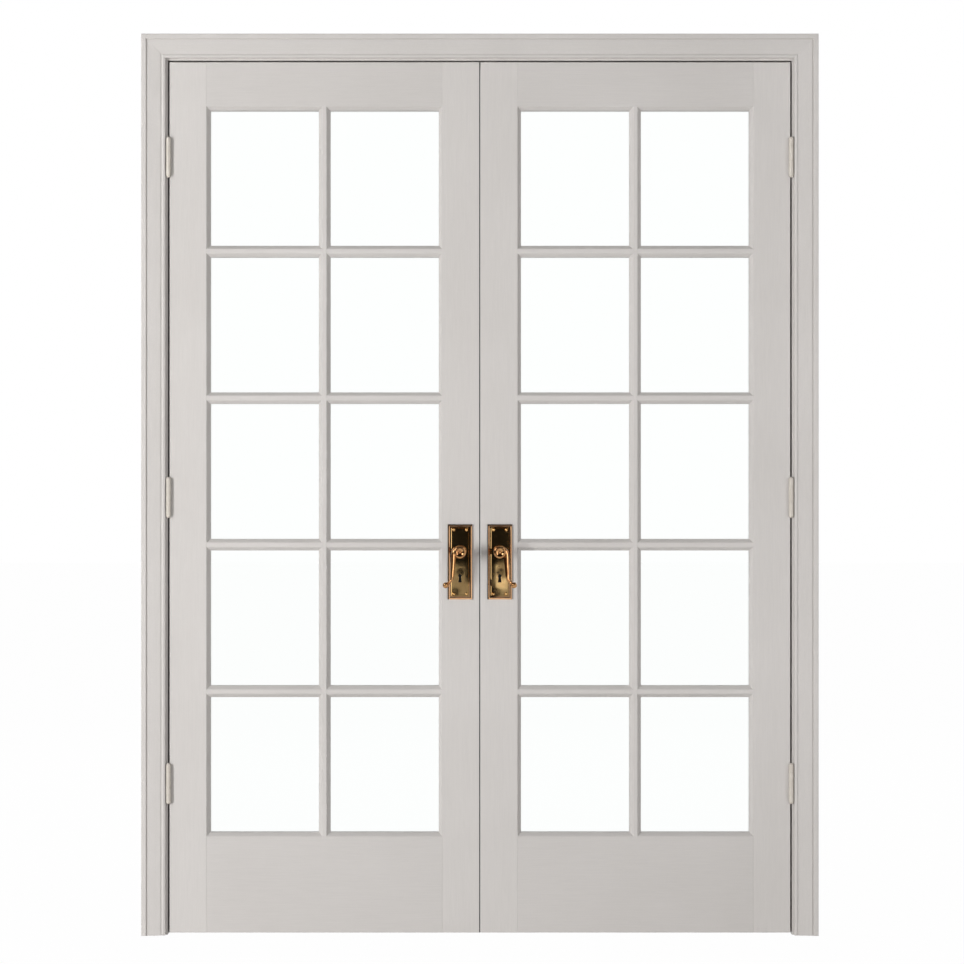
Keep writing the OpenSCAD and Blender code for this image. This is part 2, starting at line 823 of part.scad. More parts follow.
module plate_on_front() {
    low_x = handle_x - plate_w / 2;
    low_z = plate_z - plate_h / 2;
    difference() {
        union() {
            translate([low_x, front_y - plate_t, low_z]) cube([plate_w, plate_t, plate_h]);
            translate([low_x, front_y, low_z])
                mitred_strips(plate_w, plate_h, rim_t + over, 0) rim_outline();
        }
        at_spindle(neck_d + neck_play, front_y - rim_t - over, front_y + over);
        keyhole_cut(front_y - rim_t - over, front_y + over);
        plate_screw_places() along_y(front_y - rim_t - over, front_y + over) circle(d = screw_d);
    }
}

module front_plate(side) {
    color(brass) on_side(side) plate_on_front();
}

module back_plate(side) {
    color(brass) on_side(side) mirror([0, 1, 0]) plate_on_front();
}

// Round-headed screw that lies on the field of the front plate
module plate_screw() {
    dome_r = (screw_head_d * screw_head_d / 4 + screw_head_h * screw_head_h) / (2 * screw_head_h);
    along_y(front_y - plate_t, front_y + screw_l) circle(d = screw_d);
    translate([0, front_y - plate_t, 0]) rotate([90, 0, 0]) rotate_extrude() intersection() {
        square([screw_head_d / 2, screw_head_h]);
        translate([0, screw_head_h - dome_r]) circle(dome_r);
    }
}

module plate_screws(side) {
    color(brass) on_side(side) for (turn = [0, 1]) {
        mirror([0, turn, 0]) plate_screw_places() plate_screw();
    }
}

// A cubic curve through four control points
function curve(p, t) =
    pow(1 - t, 3) * p[0] + 3 * pow(1 - t, 2) * t * p[1] + 3 * (1 - t) * t * t * p[2] + pow(t, 3) * p[3];

// The lever arm's middle line in (out, down) from the spindle: over the head, down, and out to the ball
arm_rise = head_d / 4;
arm_bend = arm_drop / 4;
arm_low_x = arm_out + arm_lean;
flick_h = ball_drop - arm_drop;
arm_over = [[0, -arm_rise], [arm_out * 2 / 3, -arm_rise], [arm_out, -arm_rise / 2], [arm_out, arm_bend]];
arm_down = [
    [arm_out, arm_bend], [arm_out, arm_drop / 2],
    [arm_low_x, arm_drop * 3 / 4], [arm_low_x, arm_drop]
];
arm_flick = [
    [arm_low_x, arm_drop], [arm_low_x, arm_drop + flick_h / 2],
    [ball_out * 3 / 4, ball_drop - flick_h / 3], [ball_out, ball_drop]
];
arm_curves = [arm_over, arm_down, arm_flick];
arm_widths = [arm_root_w, (2 * arm_root_w + arm_foot_w) / 3, arm_foot_w, arm_end_w];
arm_points = [for (c = [0 : 2], s = [c == 0 ? 0 : 1 : arm_steps]) curve(arm_curves[c], s / arm_steps)];
arm_widths_at = [
    for (c = [0 : 2], s = [c == 0 ? 0 : 1 : arm_steps])
        c == 2 && s == arm_steps - 3 ? arm_ring_w
        : arm_widths[c] + (arm_widths[c + 1] - arm_widths[c]) * s / arm_steps
];

// Direction of the middle line at a point of it
function arm_heading(i) =
    let (a = arm_points[max(i - 1, 0)], b = arm_points[min(i + 1, len(arm_points) - 1)])
    (b - a) / norm(b - a);

// One ring of the arm: across its middle line, and towards the front
function arm_ring(i) =
    let (p = arm_points[i], d = arm_heading(i), w = arm_widths_at[i] / 2)
    [
        for (k = [0 : arm_sides - 1])
            let (a = 360 * k / arm_sides)
            [p[0] - d[1] * w * cos(a), w * sin(a), -p[1] - d[0] * w * cos(a)]
    ];

module arm_sweep() {
    n = arm_sides;
    last = len(arm_points) - 1;
    points = [for (i = [0 : last]) each arm_ring(i)];
    sides = [
        for (i = [0 : last - 1], k = [0 : n - 1])
            let (a = i * n + k, b = i * n + (k + 1) % n)
            each [[a, b + n, b], [a, a + n, b + n]]
    ];
    ends = [[for (k = [0 : n - 1]) k], [for (k = [n - 1 : -1 : 0]) last * n + k]];
    polyhedron(points, concat(sides, ends));
}

// Neck, collar and head of the lever, turned about the spindle: x is the radius, y leaves the leaf
module lever_head_outline() {
    head_low = lever_out - head_t / 2;
    head_high = lever_out + head_t / 2;
    dish_r = (dish_d * dish_d / 4 + dish_h * dish_h) / (2 * dish_h);
    collar_low = plate_t + collar_gap;
    collar_high = collar_low + collar_t;
    waist_h = head_low - collar_high;
    waist_r = (waist_h * waist_h / 4 + neck_waist * neck_waist) / (2 * neck_waist);
    difference() {
        union() {
            square([neck_d / 2, lever_out]);
            translate([0, collar_low]) square([collar_d / 2, collar_t]);
            translate([0, head_low]) square([head_d / 2 - head_t / 4, head_t]);
            translate([0, head_low + head_t / 4]) square([head_d / 2, head_t / 2]);
            for (y = [head_low + head_t / 4, head_low + head_t * 3 / 4]) {
                translate([head_d / 2 - head_t / 4, y]) circle(head_t / 4);
            }
        }
        intersection() {
            translate([neck_d / 2 - neck_waist + waist_r, collar_high + waist_h / 2])
                circle(waist_r, $fn = waist_sides);
            translate([0, collar_high]) square([head_d, waist_h]);
        }
        translate([0, head_high + dish_r - dish_h]) circle(dish_r, $fn = waist_sides);
    }
    intersection() {
        translate([0, head_high - eye_d / 2]) circle(d = eye_d);
        translate([0, lever_out]) square([head_d, head_t]);
    }
}

module lever_on_front() {
    side = spindle_s + spindle_play;
    translate([handle_x, front_y, spindle_z]) difference() {
        union() {
            rotate([90, 0, 0]) rotate_extrude() lever_head_outline();
            translate([0, -lever_out, 0]) arm_sweep();
            translate([ball_out, -lever_out, -ball_drop]) sphere(d = ball_d);
        }
        along_y(-spindle_end - front_y, over) square(side, center = true);
    }
}

module front_lever(side) {
    color(brass) on_side(side) lever_on_front();
}

module back_lever(side) {
    color(brass) on_side(side) mirror([0, 1, 0]) lever_on_front();
}

module spindle(side) {
    reach = spindle_end - spindle_play;
    color(steel) on_side(side)
        translate([handle_x - spindle_s / 2, -reach, spindle_z - spindle_s / 2])
            cube([spindle_s, 2 * reach, spindle_s]);
}

// Lock of the left-hand leaf, which is the one that opens first
module bolt_channels(from, depth) {
    translate([from, 0, 0]) {
        bolt_space(latch_t, latch_h, spindle_z, bolt_play, depth);
        bolt_space(deadbolt_t, deadbolt_h, keyhole_z, bolt_play, depth);
    }
}

module lock_case() {
    color(steel) on_side("left") difference() {
        translate([case_x, -case_t / 2, case_low]) cube([case_d, case_t, case_h]);
        bolt_channels(case_x - over, bolt_l - forend_t + over + bolt_play);
        at_spindle(spindle_hole_d, front_y, back_y);
        keyhole_cut(front_y, -curtain_t / 2);
        keyhole_cut(curtain_t / 2, back_y);
    }
}

module lock_forend() {
    color(brass) on_side("left") difference() {
        translate([forend_x, -forend_w / 2, forend_low]) cube([forend_t, forend_w, forend_h]);
        bolt_channels(forend_x - over, forend_t + 2 * over);
    }
}

// The nose of the latch is bevelled at the back, where it meets the other leaf as it shuts
module latch_bolt() {
    color(brass) on_side("left") translate([forend_x, -latch_t / 2, spindle_z - latch_h / 2])
        linear_extrude(latch_h)
            polygon([[0, 0], [bolt_l, 0], [bolt_l, latch_t], [latch_throw, latch_t], [0, latch_t / 4]]);
}

module deadbolt() {
    color(brass) on_side("left")
        translate([forend_x, -deadbolt_t / 2, keyhole_z - deadbolt_h / 2])
            cube([bolt_l, deadbolt_t, deadbolt_h]);
}

module meeting_seal() {
    tip_x = -edge_x + seal_gap;
    color(dark_pile) on_side("left") translate([tip_x, front_y + seal_in, leaf_bottom])
        cube([edge_x + seal_foot - tip_x, seal_t, leaf_h]);
}

// Strike plate and flush bolts of the right-hand leaf
module strike_plate() {
    color(brass) difference() {
        translate([forend_x, -forend_w / 2, forend_low]) cube([forend_t, forend_w, forend_h]);
        strike_pockets();
    }
}

module flush_bolt_faceplates() {
    color(brass) for (end = ["top", "bottom"]) at_leaf_end(end) difference() {
        translate([bolt_plate_x, -bolt_plate_w / 2, leaf_top - bolt_plate_in - bolt_plate_h])
            cube([forend_t, bolt_plate_w, bolt_plate_h]);
        translate([0, -finger_w / 2 - finger_play, leaf_top - slot_in - slot_h])
            cube([rod_x, finger_w + 2 * finger_play, slot_h]);
    }
}

module flush_bolt(end) {
    color(brass) at_leaf_end(end) {
        translate([rod_x, 0, leaf_top - rod_tip_in - rod_l]) cylinder(d = rod_d, h = rod_l);
        translate([bolt_plate_x, -finger_w / 2, leaf_top - finger_in - finger_h])
            cube([rod_in, finger_w, finger_h]);
    }
}

head_jamb();
head_stop();
head_casing();
hinge_pins();
for (side = SIDES) {
    side_jamb(side);
    side_stop(side);
    side_casing(side);
    for (i = [0 : 2]) {
        hinge_plate(side, hinge_z[i], true);
        hinge_plate(side, hinge_z[i], false);
    }
    hinge_stile(side);
    meeting_stile(side);
    top_rail(side);
    bottom_rail(side);
    vertical_bars(side);
    cross_bars(side);
    panes(side);
    glazing_beads(side);
    front_plate(side);
    back_plate(side);
    plate_screws(side);
    front_lever(side);
    back_lever(side);
    spindle(side);
}
lock_case();
lock_forend();
latch_bolt();
deadbolt();
meeting_seal();
strike_plate();
flush_bolt_faceplates();
flush_bolt("top");  // top_flush_bolt
flush_bolt("bottom");  // bottom_flush_bolt
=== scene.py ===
"""Looks of the double glass door: paint, brass, glass, small screws, studio and camera.

Everything is in metres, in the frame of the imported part: +Z up, the front faces -Y.
"""
import json
import math

import bmesh
import bpy
from mathutils import Matrix, Vector


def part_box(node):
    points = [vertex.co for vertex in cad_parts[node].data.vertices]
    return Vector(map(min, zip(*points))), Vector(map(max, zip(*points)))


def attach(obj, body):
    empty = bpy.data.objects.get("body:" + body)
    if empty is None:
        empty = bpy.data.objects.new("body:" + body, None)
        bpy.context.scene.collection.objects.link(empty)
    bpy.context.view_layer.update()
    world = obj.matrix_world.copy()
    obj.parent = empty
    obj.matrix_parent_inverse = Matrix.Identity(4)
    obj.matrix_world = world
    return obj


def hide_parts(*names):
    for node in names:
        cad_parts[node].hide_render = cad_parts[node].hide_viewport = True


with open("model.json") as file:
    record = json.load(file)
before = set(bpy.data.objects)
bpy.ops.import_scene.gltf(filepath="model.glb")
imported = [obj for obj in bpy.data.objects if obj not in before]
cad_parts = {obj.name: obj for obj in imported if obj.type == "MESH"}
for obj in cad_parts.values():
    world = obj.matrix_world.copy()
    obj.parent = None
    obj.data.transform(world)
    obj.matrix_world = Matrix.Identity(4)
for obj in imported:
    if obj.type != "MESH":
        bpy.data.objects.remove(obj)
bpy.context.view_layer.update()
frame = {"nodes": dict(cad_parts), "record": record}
nodes = frame["nodes"]

SIDES = ("left", "right")
SIGN = {"left": -1, "right": 1}
HINGES = ("bottom", "middle", "top")
MM = 0.001

# Colours are linear
PAINT = (0.645, 0.618, 0.598)
PAINT_DEEP = (0.607, 0.580, 0.558)
# The rails and the head are brushed the other way, and a little darker as painted shade
RAIL_SHADE_SHARE = 0.957
HINGE_PAINT = (0.660, 0.615, 0.555)
HINGE_PAINT_DEEP = (0.590, 0.540, 0.475)
BRASS = (0.800, 0.560, 0.250)
BRASS_DEEP = (0.560, 0.300, 0.120)
COPPER = (0.330, 0.145, 0.060)
ROSE = (0.700, 0.420, 0.260)
# Painted dark reflection for the outer rims of the handle plates
PAINTED_RIM_REFLECTION = (0.055, 0.028, 0.016)
STEEL = (0.46, 0.46, 0.45)
STEEL_DEEP = (0.30, 0.30, 0.30)
# The lock case's dark steel, made near-black as painted shade inside the left keyhole
SHADED_CASE_STEEL = (0.035, 0.034, 0.033)
SHADED_CASE_STEEL_DEEP = (0.018, 0.017, 0.016)
# Painted shade in the holes behind the handle plates
HOLE_SHADE = (0.016, 0.013, 0.011)
PILE = (0.012, 0.011, 0.010)
PILE_LIGHT = (0.035, 0.032, 0.030)
GLASS = (0.985, 1.000, 0.993)
# The rim of a handle plate, how far its wear fades into the field, and the greatest share of the wear
RIM_W = 0.0085
RIM_BLEND = 0.0020
RIM_WORN = 0.75
# Painted dark reflection on the rim: how far from the plate's edge it starts and is full, and its
# greatest share
PAINTED_RIM_REFLECTION_LEFT = (0.0034, 0.0022, 0.92)
PAINTED_RIM_REFLECTION_RIGHT = (0.0016, 0.0008, 0.45)
PAINTED_RIM_REFLECTION_TOP = (0.0056, 0.0040, 0.90)
# How deep in a hole the painted shade starts
HOLE_SHADE_START = 0.0006
# Squeezes of the brush marks' coordinates, for upright and for level timber
BRUSHED_UP = (1.0, 1.0, 0.035)
BRUSHED_LEVEL = (0.035, 1.0, 1.0)


class Nodes:
    """A new material's node tree, with short calls to add and join nodes."""

    def __init__(self, name):
        self.material = bpy.data.materials.new(name)
        self.material.use_nodes = True
        self.tree = self.material.node_tree
        self.shader = self.tree.nodes["Principled BSDF"]
        self.object_coords = self.add("ShaderNodeTexCoord").outputs["Object"]

    def add(self, kind, **inputs):
        made = self.tree.nodes.new(kind)
        for name, value in inputs.items():
            self.put(made.inputs[name.replace("_", " ")], value)
        return made

    def put(self, socket, value):
        if isinstance(value, bpy.types.NodeSocket):
            self.tree.links.new(value, socket)
        else:
            socket.default_value = value

    def noise(self, scale, detail=3.0, roughness=0.55, stretch=None):
        """A noise's grey value; stretch squeezes its coordinates along each axis."""
        coords = self.object_coords
        if stretch:
            coords = self.add("ShaderNodeMapping", Vector=coords, Scale=stretch).outputs["Vector"]
        made = self.add("ShaderNodeTexNoise", Vector=coords, Scale=scale)
        self.put(made.inputs["Detail"], detail)
        self.put(made.inputs["Roughness"], roughness)
        return made.outputs["Fac"]

    def span(self, value, low, high, from_low=0.3, from_high=0.7):
        """The value, moved from one range to another and held there."""
        made = self.add("ShaderNodeMapRange", Value=value)
        limits = {"From Min": from_low, "From Max": from_high, "To Min": low, "To Max": high}
        for name, number in limits.items():
            made.inputs[name].default_value = number
        return made.outputs["Result"]

    def mix(self, factor, first, second, blend="MIX"):
        made = self.tree.nodes.new("ShaderNodeMix")
        made.data_type = "RGBA"
        made.blend_type = blend
        self.put(made.inputs["Factor"], factor)
        for name, colour in (("A", first), ("B", second)):
            socket = next(s for s in made.inputs if s.name == name and s.type == "RGBA")
            self.put(socket, (*colour, 1.0) if isinstance(colour, tuple) else colour)
        return next(s for s in made.outputs if s.type == "RGBA")

    def math(self, operation, *values):
        made = self.tree.nodes.new("ShaderNodeMath")
        made.operation = operation
        for socket, value in zip(made.inputs, values):
            self.put(socket, value)
        return made.outputs["Value"]

    def bump(self, height, strength, distance):
        made = self.add("ShaderNodeBump", Height=height, Strength=strength, Distance=distance)
        self.put(self.shader.inputs["Normal"], made.outputs["Normal"])

    def set(self, **inputs):
        for name, value in inputs.items():
            value = (*value, 1.0) if isinstance(value, tuple) and len(value) == 3 else value
            self.put(self.shader.inputs[name.replace("_", " ")], value)


def from_plate(m):
    """How far a point is from the middle of its handle plate, in x and z, and the plate's half size."""
    low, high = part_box("right_front_plate")
    plate, half = (low + high) / 2, (high - low) / 2
    place = m.add("ShaderNodeSeparateXYZ", Vector=m.object_coords).outputs
    own_middle = m.math("MULTIPLY", m.math("SIGN", place["X"]), plate.x)
    return m.math("SUBTRACT", place["X"], own_middle), m.math("SUBTRACT", place["Z"], plate.z), half


def painted_hole_shade(m):
    """1 in the holes behind the handle plates, where painted shade darkens the timber."""
    low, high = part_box("right_meeting_stile")
    out, up, half = from_plate(m)
    place = m.add("ShaderNodeSeparateXYZ", Vector=m.object_coords).outputs
    back = m.math("SUBTRACT", place["Y"], (low.y + high.y) / 2)
    share = 1.0
    for away, reach in ((out, half.x), (up, half.z), (back, (high.y - low.y) / 2 - HOLE_SHADE_START)):
        share = m.math("MULTIPLY", m.math("LESS_THAN", m.math("ABSOLUTE", away), reach), share)
    return share


def paint_material(name, stretch, share=1.0, hole_shade=None):
    """Satin paint with brush marks along the timber, darkened by its share as painted shade, and painted
    shade in the holes where given.
    """
    m = Nodes(name)
    light, deep = (tuple(share * c for c in colour) for colour in (PAINT, PAINT_DEEP))
    tone = m.mix(m.span(m.noise(2.4, 2.0), 0.0, 1.0), light, deep)
    speck = m.span(m.noise(900.0, 2.0), 0.94, 1.04)
    brushed = m.noise(520.0, 4.0, 0.6, stretch)
    streak = m.span(brushed, 0.97, 1.02)
    tone = m.mix(1.0, tone, m.math("MULTIPLY", speck, streak), "MULTIPLY")
    m.set(Base_Color=m.mix(hole_shade(m), tone, HOLE_SHADE) if hole_shade else tone)
    m.set(Roughness=m.span(m.noise(40.0), 0.40, 0.52), Specular_IOR_Level=0.4)
    peel = m.noise(380.0, 2.0)
    m.bump(m.math("ADD", brushed, peel), 0.10, 0.0004)
    return m.material


def hinge_paint_material():
    """Paint brushed thickly over steel."""
    m = Nodes("hinge_paint")
    m.set(Base_Color=m.mix(m.span(m.noise(60.0), 0.0, 1.0), HINGE_PAINT, HINGE_PAINT_DEEP))
    m.set(Roughness=m.span(m.noise(150.0), 0.30, 0.45))
    m.bump(m.noise(300.0, 3.0), 0.12, 0.0005)
    return m.material


def brass_material(name, tarnish, *tones):
    """Polished brass with warmer tarnish, faint smears, worn tones and painted dark reflections where
    given.
    """
    m = Nodes(name)
    tone = m.mix(m.span(m.noise(55.0, 4.0), *tarnish), BRASS, BRASS_DEEP)
    for colour, share in tones:
        tone = m.mix(share(m), tone, colour)
    m.set(Base_Color=tone, Metallic=1.0)
    m.set(Roughness=m.span(m.noise(120.0, 3.0), 0.012, 0.035))
    m.bump(m.noise(70.0, 2.0), 0.0012, 0.0006)
    return m.material


def rim_wear(m):
    """The worn share of a handle plate: its rim."""
    worn = 0.0
    out, up, half = from_plate(m)
    for away, reach in ((out, half.x), (up, half.z)):
        start = reach - RIM_W
        share = m.span(m.math("ABSOLUTE", away), 0.0, RIM_WORN, start, start + RIM_BLEND)
        worn = m.math("MAXIMUM", share, worn)
    return worn


def painted_rim_reflection(m):
    """The dark share of a handle plate: painted dark reflection on its rim, most at the top and the
    left.
    """
    out, up, half = from_plate(m)
    leftward = m.math("MULTIPLY", out, -1.0)
    dark = 0.0
    rows = ((leftward, half.x, PAINTED_RIM_REFLECTION_LEFT), (out, half.x, PAINTED_RIM_REFLECTION_RIGHT), (up, half.z, PAINTED_RIM_REFLECTION_TOP))
    for away, reach, (start, full, share) in rows:
        dark = m.math("MAXIMUM", m.span(away, 0.0, share, reach - start, reach - full), dark)
    return dark


def lever_wear(m):
    """The worn share of a lever, in patches."""
    return m.span(m.noise(90.0, 3.0), 0.55, 1.0)


def steel_material(name, colour, deep):
    """Steel with fine drawn lines."""
    m = Nodes(name)
    lines = m.noise(900.0, 3.0, 0.6, (1.0, 1.0, 0.03))
    m.set(Base_Color=m.mix(m.span(lines, 0.0, 1.0), colour, deep), Metallic=1.0)
    m.set(Roughness=m.span(lines, 0.28, 0.42))
    m.bump(lines, 0.08, 0.0002)
    return m.material


def glass_material():
    """Clear float glass, with the least unevenness."""
    m = Nodes("glass")
    m.set(Base_Color=GLASS, Transmission_Weight=1.0, IOR=1.45)
    m.set(Roughness=m.span(m.noise(9.0), 0.0, 0.012))
    m.bump(m.noise(5.0, 1.0), 0.02, 0.001)
    return m.material


def pile_material():
    """Dark upright pile of the seal."""
    m = Nodes("pile")
    tuft = m.noise(1500.0, 3.0, 0.6, (1.0, 1.0, 0.5))
    m.set(Base_Color=m.mix(m.span(tuft, 0.0, 1.0), PILE, PILE_LIGHT), Roughness=0.95, Sheen_Weight=0.3)
    m.bump(tuft, 0.6, 0.0006)
    return m.material


MATERIALS = {
    "paint": paint_material("paint", BRUSHED_UP),
    # Paint with painted shade in the keyholes and bores
    "paint_hole_shade": paint_material("paint_hole_shade", BRUSHED_UP, hole_shade=painted_hole_shade),
    "paint_level": paint_material("paint_level", BRUSHED_LEVEL),
    # A darker copy for the rails and the head: painted shade
    "paint_rail_shaded": paint_material("paint_rail_shaded", BRUSHED_LEVEL, RAIL_SHADE_SHARE),
    "hinge_paint": hinge_paint_material(),
    "brass": brass_material("brass", (0.0, 0.50)),
    # The plates' rims take wear and a painted dark reflection
    "plate_brass": brass_material("plate_brass", (0.0, 0.40), (ROSE, rim_wear), (PAINTED_RIM_REFLECTION, painted_rim_reflection)),
    "lever_brass": brass_material("lever_brass", (0.1, 0.60), (COPPER, lever_wear)),
    "steel": steel_material("steel", STEEL, STEEL_DEEP),
    # The lock case: near-black as painted shade in the left keyhole
    "shaded_case_steel": steel_material("shaded_case_steel", SHADED_CASE_STEEL, SHADED_CASE_STEEL_DEEP),
    "glass": glass_material(),
    "pile": pile_material(),
}
# Finishes of the nodes with these endings; the others have the plain finish of their slot
OWN_FINISH = {
    "head_jamb": "paint_rail_shaded", "head_stop": "paint_rail_shaded", "head_casing": "paint_rail_shaded",
    "top_rail": "paint_rail_shaded", "bottom_rail": "paint_rail_shaded", "cross_bars": "paint_level",
    "meeting_stile": "paint_hole_shade",
    "front_plate": "plate_brass", "back_plate": "plate_brass", "_lever": "lever_brass",
    "lock_case": "shaded_case_steel",
}
SLOT_OF = {row["node"]: row["material_slot"] for row in frame["record"]["subparts"]}
# Rounded edge of each finish, and the least angle that counts as an edge
EDGE = {
    "paint": (0.0007, 32), "hinge_paint": (0.0004, 32), "brass": (0.0004, 38), "steel": (0.0003, 38),
}
SCREW_EDGE = (0.00012, 30)
WELD_GAP = 0.00001
EDGE_STEPS = 2


def material_for(node):
    for ending, finish in OWN_FINISH.items():
        if node.endswith(ending):
            return MATERIALS[finish]
    return MATERIALS[SLOT_OF[node]]


def soften_edges(piece, width, angle):
    """Joins the faces, rounds the edges and evens out the shading."""
    weld = piece.modifiers.new("weld", "WELD")
    weld.merge_threshold = WELD_GAP
    bevel = piece.modifiers.new("bevel", "BEVEL")
    bevel.width = width
    bevel.segments = EDGE_STEPS
    bevel.limit_method = "ANGLE"
    bevel.angle_limit = math.radians(angle)
    bevel.use_clamp_overlap = True
    bevel.miter_outer = "MITER_ARC"
    normals = piece.modifiers.new("normals", "WEIGHTED_NORMAL")
    normals.keep_sharp = True


def dress(piece, material):
    piece.data.materials.clear()
    piece.data.materials.append(material)


for name, piece in nodes.items():
    dress(piece, material_for(name))
    if SLOT_OF[name] in EDGE:
        soften_edges(piece, *EDGE[SLOT_OF[name]])


# Screws with slotted heads, which the solids leave to this script
SCREW_SIDES = 28
DOME_STEPS = 6
SEAT_DEPTH = 0.0003
# Length of the slot's cutter, in head diameters
SLOT_LENGTH = 1.2


def screw_head(name, head_d, dome_h, slot_w, slot_d):
    """The mesh of one head, standing on the plane z = 0, with a slot along x."""
    radius = head_d / 2
    dome_r = (radius ** 2 + dome_h ** 2) / (2 * dome_h)
    rings = [(radius, -SEAT_DEPTH)]
    for step in range(DOME_STEPS):
        across = radius * math.cos(step / DOME_STEPS * math.pi / 2)
        rings.append((across, dome_h - dome_r + math.sqrt(dome_r ** 2 - across ** 2)))
    made = bmesh.new()
    turns = [2 * math.pi * k / SCREW_SIDES for k in range(SCREW_SIDES)]
    loops = [[made.verts.new((r * math.cos(a), r * math.sin(a), z)) for a in turns] for r, z in rings]
    made.faces.new(reversed(loops[0]))
    for low, high in zip(loops, loops[1:]):
        for k in range(SCREW_SIDES):
            n = (k + 1) % SCREW_SIDES
            made.faces.new((low[k], low[n], high[n], high[k]))
    top = made.verts.new((0.0, 0.0, dome_h))
    for k in range(SCREW_SIDES):
        made.faces.new((loops[-1][k], loops[-1][(k + 1) % SCREW_SIDES], top))
    head = new_object(name + "_blank", made)
    cutter = bmesh.new()
    bmesh.ops.create_cube(cutter, size=1.0)
    bmesh.ops.scale(cutter, vec=(head_d * SLOT_LENGTH, slot_w, 2 * slot_d), verts=cutter.verts)
    bmesh.ops.translate(cutter, vec=(0.0, 0.0, dome_h), verts=cutter.verts)
    slot = new_object(name + "_slot", cutter)
    cut = head.modifiers.new("slot", "BOOLEAN")
    cut.operation = "DIFFERENCE"
    cut.object = slot
    mesh = bpy.data.meshes.new_from_object(head.evaluated_get(bpy.context.evaluated_depsgraph_get()))
    for used in (head, slot):
        bpy.data.objects.remove(used)
    return mesh


def new_object(name, made):
    """A linked object from a bmesh, which is freed."""
    mesh = bpy.data.meshes.new(name)
    made.to_mesh(mesh)
    made.free()
    piece = bpy.data.objects.new(name, mesh)
    bpy.context.scene.collection.objects.link(piece)
    return piece


def screws(name, head, places, body, slot):
    """Copies of a head at (place, outward direction, turn of the slot), as one piece on a body."""
    made = bmesh.new()
    for place, outward, turn in places:
        copy = bmesh.new()
        copy.from_mesh(head)
        stand = Vector(outward).to_track_quat("Z", "Y").to_matrix().to_4x4()
        copy.transform(Matrix.Translation(Vector(place)) @ stand @ Matrix.Rotation(turn, 4, "Z"))
        spare = bpy.data.meshes.new("spare")
        copy.to_mesh(spare)
        copy.free()
        made.from_mesh(spare)
        bpy.data.meshes.remove(spare)
    piece = new_object(name, made)
    soften_edges(piece, *SCREW_EDGE)
    dress(piece, MATERIALS[slot])
    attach(piece, body)
    return piece


PLATE_HEAD = screw_head("plate_head", head_d=7.0 * MM, dome_h=2.2 * MM, slot_w=1.0 * MM, slot_d=1.0 * MM)
FLAT_HEAD = screw_head("flat_head", head_d=8.0 * MM, dome_h=0.35 * MM, slot_w=1.1 * MM, slot_d=0.5 * MM)
# Turns of the slots, as they were left by hand
TURNS = (0.35, 1.20, 2.10, 0.80, 2.75, 1.65, 0.10, 2.40)
PLATE_SCREW_OUT = 15.0 * MM
PLATE_SCREW_UP = 75.0 * MM
PLATE_FIELD = 2.4 * MM
# Places of the screws on a hinge plate, as shares of its depth and height
HINGE_SCREWS = ((0.31, 0.17), (0.69, 0.33), (0.69, 0.67), (0.31, 0.83))
EDGE_SCREW_INSET = 9.0 * MM


def middle(node):
    low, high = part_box(node)
    return (low + high) / 2


for side in SIDES:
    sign = SIGN[side]
    leaf = side + "_leaf"
    places = []
    for face, outward in (("front", -1.0), ("back", 1.0)):
        centre = middle(f"{side}_{face}_plate")
        leaf_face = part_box(f"{side}_hinge_stile")[0 if outward < 0 else 1].y
        for dx in (-PLATE_SCREW_OUT, PLATE_SCREW_OUT):
            for dz in (-PLATE_SCREW_UP, PLATE_SCREW_UP):
                place = (centre.x + dx, leaf_face + outward * PLATE_FIELD, centre.z + dz)
                places.append((place, (0.0, outward, 0.0), TURNS[len(places) % len(TURNS)]))
    heads = screws(f"{side}_slotted_plate_screws", PLATE_HEAD, places, leaf, "brass")
    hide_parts(f"{side}_plate_screws")

    for kind, body, towards in (("jamb", "frame", -sign), ("leaf", leaf, sign)):
        places = []
        stile_low, stile_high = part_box(f"{side}_hinge_stile" if kind == "leaf" else f"{side}_jamb")
        edge = {-1: stile_low.x, 1: stile_high.x}[towards]
        for hinge in HINGES:
            low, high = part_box(f"{side}_{hinge}_{kind}_hinge_plate")
            for across, up in HINGE_SCREWS:
                y = stile_low.y + across * (high.y - stile_low.y)
                place = (edge, y, low.z + up * (high.z - low.z))
                places.append((place, (towards, 0.0, 0.0), TURNS[len(places) % len(TURNS)]))
        screws(f"{side}_{kind}_hinge_screws", FLAT_HEAD, places, body, "hinge_paint")


def edge_plate_screws(name, boxes, towards, body):
    """A screw near each end of each plate in a meeting edge."""
    places = []
    for low, high in boxes:
        face = low.x if towards < 0 else high.x
        for z in (low.z + EDGE_SCREW_INSET, high.z - EDGE_SCREW_INSET):
            place = (face, (low.y + high.y) / 2, z)
            places.append((place, (towards, 0.0, 0.0), TURNS[len(places) % len(TURNS)]))
    screws(name, FLAT_HEAD, places, body, "brass")


edge_plate_screws("forend_screws", [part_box("lock_forend")], 1.0, "left_leaf")
edge_plate_screws("strike_screws", [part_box("strike_plate")], -1.0, "right_leaf")
bolt_low, bolt_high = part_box("flush_bolt_faceplates")
BOLT_PLATE_H = 130.0 * MM
edge_plate_screws("flush_bolt_screws", [
    (bolt_low, Vector((bolt_high.x, bolt_high.y, bolt_low.z + BOLT_PLATE_H))),
    (Vector((bolt_low.x, bolt_low.y, bolt_high.z - BOLT_PLATE_H)), bolt_high),
], -1.0, "right_leaf")


# Studio
floor_mesh = bpy.data.meshes.new("floor")
FLOOR_HALF = 30.0
corners = [(x * FLOOR_HALF, y * FLOOR_HALF, 0.0) for x, y in ((-1, -1), (1, -1), (1, 1), (-1, 1))]
floor_mesh.from_pydata(corners, [], [(0, 1, 2, 3)])
floor = bpy.data.objects.new("floor", floor_mesh)
bpy.context.scene.collection.objects.link(floor)

